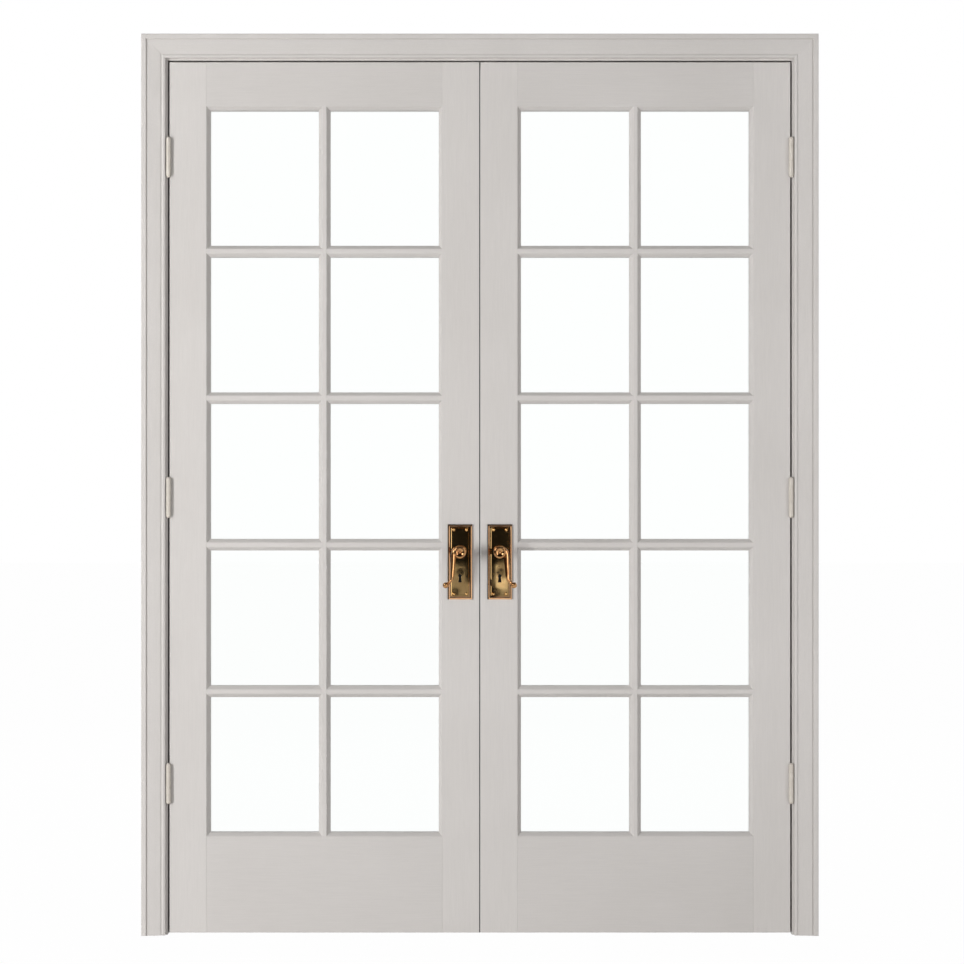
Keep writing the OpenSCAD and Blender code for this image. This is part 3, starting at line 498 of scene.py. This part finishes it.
FLOOR = (0.80, 0.79, 0.775)
FLOOR_DEEP = tuple(0.97 * c for c in FLOOR)
WHITE_SHARE = 0.985


def seen_ray(tree):
    """1 for the rays that show the background: to the camera, in metal and through glass."""
    path = tree.nodes.new("ShaderNodeLightPath")
    total = path.outputs["Is Camera Ray"]
    for name in ("Is Glossy Ray", "Is Transmission Ray"):
        made = tree.nodes.new("ShaderNodeMath")
        made.operation = "MAXIMUM"
        tree.links.new(total, made.inputs[0])
        tree.links.new(path.outputs[name], made.inputs[1])
        total = made.outputs["Value"]
    return total


def floor_material():
    """A pale floor that meets the white background and keeps the shadow."""
    m = Nodes("floor")
    tree = m.tree
    m.set(Base_Color=m.mix(m.span(m.noise(14.0), 0.0, 1.0), FLOOR, FLOOR_DEEP), Roughness=0.8)
    white = m.add("ShaderNodeEmission", Color=(1.0, 1.0, 1.0, 1.0), Strength=1.0)
    mix = tree.nodes.new("ShaderNodeMixShader")
    tree.links.new(m.math("MULTIPLY", seen_ray(tree), WHITE_SHARE), mix.inputs[0])
    tree.links.new(m.shader.outputs["BSDF"], mix.inputs[1])
    tree.links.new(white.outputs["Emission"], mix.inputs[2])
    tree.links.new(mix.outputs["Shader"], tree.nodes["Material Output"].inputs["Surface"])
    return m.material


dress(floor, floor_material())

AMBIENT = 0.31
world = bpy.data.worlds.new("studio")
bpy.context.scene.world = world
world.use_nodes = True
sky = world.node_tree.nodes["Background"]
sky.inputs["Color"].default_value = (1.0, 1.0, 1.0, 1.0)
level = world.node_tree.nodes.new("ShaderNodeMapRange")
level.inputs["To Min"].default_value = AMBIENT
level.inputs["To Max"].default_value = 1.0
world.node_tree.links.new(seen_ray(world.node_tree), level.inputs["Value"])
world.node_tree.links.new(level.outputs["Result"], sky.inputs["Strength"])


AIM = Vector((0.0, 0.0, 1.0))


def softbox(name, place, size, power):
    """A large lamp that neither the metal nor the glass shows."""
    data = bpy.data.lights.new(name, "AREA")
    data.shape = "RECTANGLE"
    data.size, data.size_y = size
    data.energy = power
    lamp = bpy.data.objects.new(name, data)
    lamp.location = place
    lamp.rotation_euler = (AIM - Vector(place)).to_track_quat("-Z", "Y").to_euler()
    lamp.visible_glossy = False
    lamp.visible_transmission = False
    bpy.context.scene.collection.objects.link(lamp)


softbox("key", place=(-4.0, -4.0, 1.0), size=(0.9, 2.2), power=222.0)
softbox("fill", place=(3.6, -4.4, 1.2), size=(2.4, 2.4), power=56.0)
softbox("back", place=(0.0, 4.5, 3.0), size=(3.0, 2.0), power=90.0)

# Dark and glowing cards round the camera, which only reflections show
BLACK = (0.010, 0.009, 0.008)
BROWN = (0.075, 0.055, 0.040)
CARD_LIGHTER = 1.6


def card(name, outlines, colour, glow=0.0):
    """Flat sheets as one object, seen only in reflections."""
    mesh = bpy.data.meshes.new(name)
    points = [p for outline in outlines for p in outline]
    faces, start = [], 0
    for outline in outlines:
        faces.append(tuple(range(start, start + len(outline))))
        start += len(outline)
    mesh.from_pydata(points, [], faces)
    made = bpy.data.objects.new(name, mesh)
    bpy.context.scene.collection.objects.link(made)
    m = Nodes(name)
    lighter = tuple(CARD_LIGHTER * c for c in colour)
    m.set(Base_Color=m.mix(m.noise(3.0), colour, lighter), Roughness=0.9)
    m.set(Emission_Color=(1.0, 1.0, 1.0), Emission_Strength=glow)
    dress(made, m.material)
    made.visible_camera = False
    made.visible_diffuse = False
    made.visible_transmission = False
    made.visible_shadow = False


# The far card, which the flat fields of the handle plates show, and the sheets behind its lower edge
FAR_Y = -9.0
FAR_HALF = 0.215
FAR_TOP = 7.0
LOW_TOP = 0.70
LOW_BEHIND = 0.02
LOW_GLOW = 0.30
PATCH_GLOW = 1.0
# Its lower edge is a wave
WAVE_Z = 0.60
WAVE_H = 0.012
WAVE_TURN = 0.9
WAVE_STEPS = 20
# Shapes near that edge: rectangles by low x, high x, low z and high z, and discs by x, z and radius
DARK_UPRIGHTS = ((-0.088, 0.0, 0.50, 0.66), (0.0, 0.082, 0.36, 0.66))
BRIGHT_PATCHES = ((0.080, 0.146, 0.465, 0.522), (0.080, 0.102, 0.50, 0.595))
DARK_DISCS = (
    (-0.143, 0.449, 0.022), (0.083, 0.447, 0.026),
    (-0.115, 0.560, 0.022), (0.107, 0.560, 0.022),
)
DISC_SIDES = 16
# The room at the sides and above, with a window at the left and a bright strip at the right
BACK_Y = 2.0
ROOM_HALF = 2.2
ROOM_LOW = 0.25
ROOM_HIGH = 3.4
SILL = 1.6
WINDOW = (-1.2, -3.5)
WINDOW_GLOW = 5.0
STRIP = (-1.9, -2.9)
STRIP_GLOW = 4.0
RIGHT_GLOW = 0.42


def wall(x, near, far, low=ROOM_LOW, high=ROOM_HIGH):
    """The outline of a card that stands at one side, between two distances from the door."""
    return [(x, near, low), (x, far, low), (x, far, high), (x, near, high)]


def upright(low_x, high_x, low_z, high_z, y=FAR_Y):
    """The outline of an upright card across the view."""
    return [(low_x, y, low_z), (high_x, y, low_z), (high_x, y, high_z), (low_x, y, high_z)]


def disc(x, z, radius):
    """The outline of a round patch at the far card."""
    turns = [2 * math.pi * k / DISC_SIDES for k in range(DISC_SIDES)]
    return [(x + radius * math.cos(a), FAR_Y, z + radius * math.sin(a)) for a in turns]


def far_outline():
    """The outline of the far card, with a waved lower edge."""
    points = []
    for k in range(WAVE_STEPS + 1):
        x = FAR_HALF * (2 * k / WAVE_STEPS - 1)
        points.append((x, FAR_Y, WAVE_Z + WAVE_H * math.sin(k * WAVE_TURN)))
    return points + [(FAR_HALF, FAR_Y, FAR_TOP), (-FAR_HALF, FAR_Y, FAR_TOP)]


uprights = [upright(*sides) for sides in DARK_UPRIGHTS]
card("far_card", [far_outline(), *uprights, *[disc(*patch) for patch in DARK_DISCS]], BLACK)
card("low_card", [upright(-FAR_HALF, FAR_HALF, 0.0, LOW_TOP, FAR_Y - 2 * LOW_BEHIND)], BROWN, LOW_GLOW)
patches = [upright(*sides, FAR_Y - LOW_BEHIND) for sides in BRIGHT_PATCHES]
card("bright_patches", patches, BROWN, PATCH_GLOW)
card("top_card", [[
    (-ROOM_HALF, BACK_Y, ROOM_HIGH), (ROOM_HALF, BACK_Y, ROOM_HIGH),
    (ROOM_HALF, FAR_Y, ROOM_HIGH), (-ROOM_HALF, FAR_Y, ROOM_HIGH),
]], BLACK)
card("right_card", [
    wall(ROOM_HALF, BACK_Y, STRIP[0]), wall(ROOM_HALF, STRIP[1], FAR_Y),
], BROWN, RIGHT_GLOW)
card("right_strip", [wall(ROOM_HALF, *STRIP)], BROWN, STRIP_GLOW)
card("left_card", [
    wall(-ROOM_HALF, BACK_Y, FAR_Y, ROOM_LOW, SILL),
    wall(-ROOM_HALF, BACK_Y, WINDOW[0], SILL), wall(-ROOM_HALF, WINDOW[1], FAR_Y, SILL),
], BROWN)
card("left_window", [wall(-ROOM_HALF, *WINDOW, SILL)], BROWN, WINDOW_GLOW)

# Camera: level, in front of the doors, with the photograph's framing
CAMERA_DISTANCE = 6.5
CAMERA_X = 0.0050
CAMERA_Z = 1.0612
# The picture's width in pixels, and the size of a pixel at the leaves' faces
PICTURE_PX = 964
PX = 2.344 * MM
SENSOR = 36.0
leaf_front_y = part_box("left_hinge_stile")[0].y
camera_data = bpy.data.cameras.new("camera")
camera_data.sensor_width = SENSOR
camera_data.lens = SENSOR * CAMERA_DISTANCE / (PICTURE_PX * PX)
camera = bpy.data.objects.new("camera", camera_data)
camera.location = (CAMERA_X, leaf_front_y - CAMERA_DISTANCE, CAMERA_Z)
camera.rotation_euler = (math.radians(90.0), 0.0, 0.0)
bpy.context.scene.collection.objects.link(camera)
bpy.context.scene.camera = camera
bpy.context.scene.view_settings.view_transform = "Standard"
